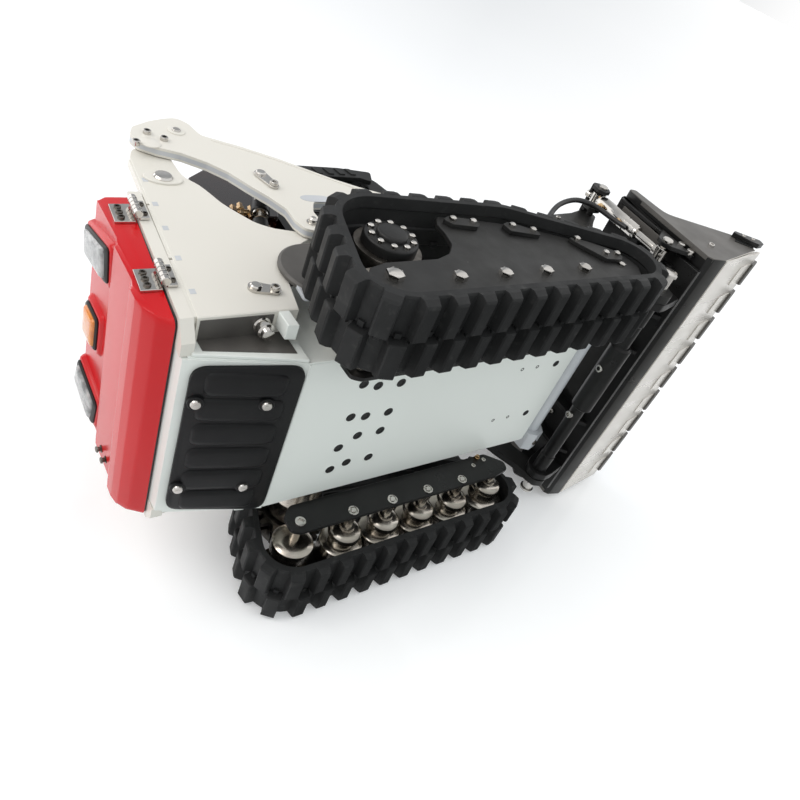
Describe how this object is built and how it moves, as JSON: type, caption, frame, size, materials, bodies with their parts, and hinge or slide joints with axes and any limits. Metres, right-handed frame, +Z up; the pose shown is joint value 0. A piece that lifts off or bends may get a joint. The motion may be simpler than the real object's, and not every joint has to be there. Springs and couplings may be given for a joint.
{
  "type": "tracked loader chassis",
  "caption": "Scale-model compact track loader with rubber tracks, lift arms on rear towers, tilting toothed bucket and side-hinged rear hood.",
  "frame": {"origin": "centre of the bounding box's bottom face, on the ground under the tracks", "axes": "+Z up, -Y towards the bucket, +X to the machine's left"},
  "size_m": [0.141, 0.239, 0.143],
  "materials": {
    "white_paint": "smooth off-white paint",
    "red_paint": "glossy red paint",
    "black_paint": "semi-gloss black",
    "track_rubber": "matt moulded rubber",
    "polished_steel": "turned and polished",
    "chrome": "bright",
    "grey_metal": "satin grey",
    "black_plastic": "moulded",
    "battery_wrap": "shrink wrap",
    "clear_lens": "clear lamp lens",
    "amber_lens": "amber lens"
  },
  "bodies": {
    "chassis": {"chassis_tub": "white_paint", "belly_cover": "black_paint", "rear_frame": "white_paint", "tower_right": "white_paint", "track_band_right": "track_rubber", "outer_plate_right": "black_paint", "inner_plate_right": "black_paint", "final_drive_right": "polished_steel", "drive_motor_right": "polished_steel", "tower_left": "white_paint", "track_band_left": "track_rubber", "outer_plate_left": "black_paint", "inner_plate_left": "black_paint", "final_drive_left": "polished_steel", "drive_motor_left": "polished_steel", "cab_shell": "black_plastic", "cab_seat": "black_plastic", "hood_hinge_lower": "chrome", "hood_hinge_upper": "chrome", "battery": "battery_wrap", "hydraulic_pump": "black_paint", "valve_block": "polished_steel", "oil_tank": "grey_metal", "cross_tube": "grey_metal"},
    "lift_arms": {"lift_arm_right": "white_paint", "lift_arm_left": "white_paint", "arm_foot_right": "black_paint", "arm_foot_left": "black_paint"},
    "bucket": {"coupler": "black_paint", "bucket_shell": "grey_metal", "cutting_edge": "polished_steel", "coupler_hose": "black_plastic"},
    "hood": {"hood_shell": "red_paint", "lamp_right": "clear_lens", "lamp_left": "clear_lens", "lamp_amber": "amber_lens"},
    "drive_right": {"sprocket_right": "black_paint", "hub_cap_right": "black_paint"},
    "roller_right_1": {"roller_right_1": "polished_steel"},
    "roller_right_2": {"roller_right_2": "polished_steel"},
    "roller_right_3": {"roller_right_3": "polished_steel"},
    "roller_right_4": {"roller_right_4": "polished_steel"},
    "front_idler_right": {"front_idler_right": "polished_steel"},
    "rear_idler_right": {"rear_idler_right": "polished_steel"},
    "lift_barrel_right": {"lift_barrel_right": "black_paint"},
    "lift_rod_right": {"lift_rod_right": "chrome"},
    "tilt_barrel_right": {"tilt_barrel_right": "black_paint"},
    "tilt_rod_right": {"tilt_rod_right": "chrome"},
    "drive_left": {"sprocket_left": "black_paint", "hub_cap_left": "black_paint"},
    "roller_left_1": {"roller_left_1": "polished_steel"},
    "roller_left_2": {"roller_left_2": "polished_steel"},
    "roller_left_3": {"roller_left_3": "polished_steel"},
    "roller_left_4": {"roller_left_4": "polished_steel"},
    "front_idler_left": {"front_idler_left": "polished_steel"},
    "rear_idler_left": {"rear_idler_left": "polished_steel"},
    "lift_barrel_left": {"lift_barrel_left": "black_paint"},
    "lift_rod_left": {"lift_rod_left": "chrome"},
    "tilt_barrel_left": {"tilt_barrel_left": "black_paint"},
    "tilt_rod_left": {"tilt_rod_left": "chrome"}
  },
  "joints": [
    {"name": "arm_lift", "type": "hinge", "parent": "chassis", "child": "lift_arms", "pos_m": [0, 0.0909, 0.1232], "axis": [-1, 0, 0], "range_deg": [-3, 40]},
    {"name": "bucket_tilt", "type": "hinge", "parent": "lift_arms", "child": "bucket", "pos_m": [0, -0.0605, 0.017], "axis": [1, 0, 0], "range_deg": [-3, 45]},
    {"name": "hood_open", "type": "hinge", "parent": "chassis", "child": "hood", "pos_m": [-0.0432, 0.1089, 0.07], "axis": [0, -0.0995, 0.995], "range_deg": [0, 100]},
    {"name": "right_drive", "type": "hinge", "parent": "chassis", "child": "drive_right", "pos_m": [-0.0555, 0.057, 0.0343], "axis": [1, 0, 0], "continuous": true},
    {"name": "roller_right_1_turn", "type": "hinge", "parent": "chassis", "child": "roller_right_1", "pos_m": [-0.054, -0.0055, 0.0144], "axis": [1, 0, 0], "continuous": true},
    {"name": "roller_right_2_turn", "type": "hinge", "parent": "chassis", "child": "roller_right_2", "pos_m": [-0.054, 0.012, 0.0144], "axis": [1, 0, 0], "continuous": true},
    {"name": "roller_right_3_turn", "type": "hinge", "parent": "chassis", "child": "roller_right_3", "pos_m": [-0.054, 0.029, 0.0144], "axis": [1, 0, 0], "continuous": true},
    {"name": "roller_right_4_turn", "type": "hinge", "parent": "chassis", "child": "roller_right_4", "pos_m": [-0.054, 0.0463, 0.0144], "axis": [1, 0, 0], "continuous": true},
    {"name": "front_idler_right_turn", "type": "hinge", "parent": "chassis", "child": "front_idler_right", "pos_m": [-0.054, -0.0257, 0.016], "axis": [1, 0, 0], "continuous": true},
    {"name": "rear_idler_right_turn", "type": "hinge", "parent": "chassis", "child": "rear_idler_right", "pos_m": [-0.054, 0.0671, 0.0162], "axis": [1, 0, 0], "continuous": true},
    {"name": "lift_barrel_right_swing", "type": "hinge", "parent": "chassis", "child": "lift_barrel_right", "pos_m": [-0.0349, 0.084, 0.047], "axis": [-1, 0, 0], "range_deg": [-0.63, 2.19]},
    {"name": "lift_rod_right_slide", "type": "slide", "parent": "lift_barrel_right", "child": "lift_rod_right", "axis": [0, -0.4201, 0.9075], "range_m": [-0.0023, 0.02696]},
    {"name": "tilt_barrel_right_swing", "type": "hinge", "parent": "lift_arms", "child": "tilt_barrel_right", "pos_m": [-0.0605, -0.0705, 0.067], "axis": [1, 0, 0], "range_deg": [-10.11, 1.14]},
    {"name": "tilt_rod_right_slide", "type": "slide", "parent": "tilt_barrel_right", "child": "tilt_rod_right", "axis": [0, 0.0526, -0.9986], "range_m": [-0.00088, 0.009]},
    {"name": "left_drive", "type": "hinge", "parent": "chassis", "child": "drive_left", "pos_m": [0.0555, 0.057, 0.0343], "axis": [1, 0, 0], "continuous": true},
    {"name": "roller_left_1_turn", "type": "hinge", "parent": "chassis", "child": "roller_left_1", "pos_m": [0.054, -0.0055, 0.0144], "axis": [1, 0, 0], "continuous": true},
    {"name": "roller_left_2_turn", "type": "hinge", "parent": "chassis", "child": "roller_left_2", "pos_m": [0.054, 0.012, 0.0144], "axis": [1, 0, 0], "continuous": true},
    {"name": "roller_left_3_turn", "type": "hinge", "parent": "chassis", "child": "roller_left_3", "pos_m": [0.054, 0.029, 0.0144], "axis": [1, 0, 0], "continuous": true},
    {"name": "roller_left_4_turn", "type": "hinge", "parent": "chassis", "child": "roller_left_4", "pos_m": [0.054, 0.0463, 0.0144], "axis": [1, 0, 0], "continuous": true},
    {"name": "front_idler_left_turn", "type": "hinge", "parent": "chassis", "child": "front_idler_left", "pos_m": [0.054, -0.0257, 0.016], "axis": [1, 0, 0], "continuous": true},
    {"name": "rear_idler_left_turn", "type": "hinge", "parent": "chassis", "child": "rear_idler_left", "pos_m": [0.054, 0.0671, 0.0162], "axis": [1, 0, 0], "continuous": true},
    {"name": "lift_barrel_left_swing", "type": "hinge", "parent": "chassis", "child": "lift_barrel_left", "pos_m": [0.0349, 0.084, 0.047], "axis": [-1, 0, 0], "range_deg": [-0.63, 2.19]},
    {"name": "lift_rod_left_slide", "type": "slide", "parent": "lift_barrel_left", "child": "lift_rod_left", "axis": [0, -0.4201, 0.9075], "range_m": [-0.0023, 0.02696]},
    {"name": "tilt_barrel_left_swing", "type": "hinge", "parent": "lift_arms", "child": "tilt_barrel_left", "pos_m": [0.0605, -0.0705, 0.067], "axis": [1, 0, 0], "range_deg": [-10.11, 1.14]},
    {"name": "tilt_rod_left_slide", "type": "slide", "parent": "tilt_barrel_left", "child": "tilt_rod_left", "axis": [0, 0.0526, -0.9986], "range_m": [-0.00088, 0.009]}
  ],
  "couplings": [
    {"joint": "roller_right_1_turn", "follows": "right_drive", "ratio": 1.8171},
    {"joint": "roller_right_2_turn", "follows": "right_drive", "ratio": 1.8171},
    {"joint": "roller_right_3_turn", "follows": "right_drive", "ratio": 1.8171},
    {"joint": "roller_right_4_turn", "follows": "right_drive", "ratio": 1.8171},
    {"joint": "front_idler_right_turn", "follows": "right_drive", "ratio": 1.4975},
    {"joint": "rear_idler_right_turn", "follows": "right_drive", "ratio": 1.468},
    {"joint": "lift_barrel_right_swing", "follows": "arm_lift", "ratio": 0.0422},
    {"joint": "lift_rod_right_slide", "follows": "arm_lift", "m_per_rad": 0.038189},
    {"joint": "tilt_barrel_right_swing", "follows": "bucket_tilt", "ratio": -0.2136},
    {"joint": "tilt_rod_right_slide", "follows": "bucket_tilt", "m_per_rad": 0.011074},
    {"joint": "roller_left_1_turn", "follows": "left_drive", "ratio": 1.8171},
    {"joint": "roller_left_2_turn", "follows": "left_drive", "ratio": 1.8171},
    {"joint": "roller_left_3_turn", "follows": "left_drive", "ratio": 1.8171},
    {"joint": "roller_left_4_turn", "follows": "left_drive", "ratio": 1.8171},
    {"joint": "front_idler_left_turn", "follows": "left_drive", "ratio": 1.4975},
    {"joint": "rear_idler_left_turn", "follows": "left_drive", "ratio": 1.468},
    {"joint": "lift_barrel_left_swing", "follows": "arm_lift", "ratio": 0.0422},
    {"joint": "lift_rod_left_slide", "follows": "arm_lift", "m_per_rad": 0.038189},
    {"joint": "tilt_barrel_left_swing", "follows": "bucket_tilt", "ratio": -0.2136},
    {"joint": "tilt_rod_left_slide", "follows": "bucket_tilt", "m_per_rad": 0.011074}
  ]
}
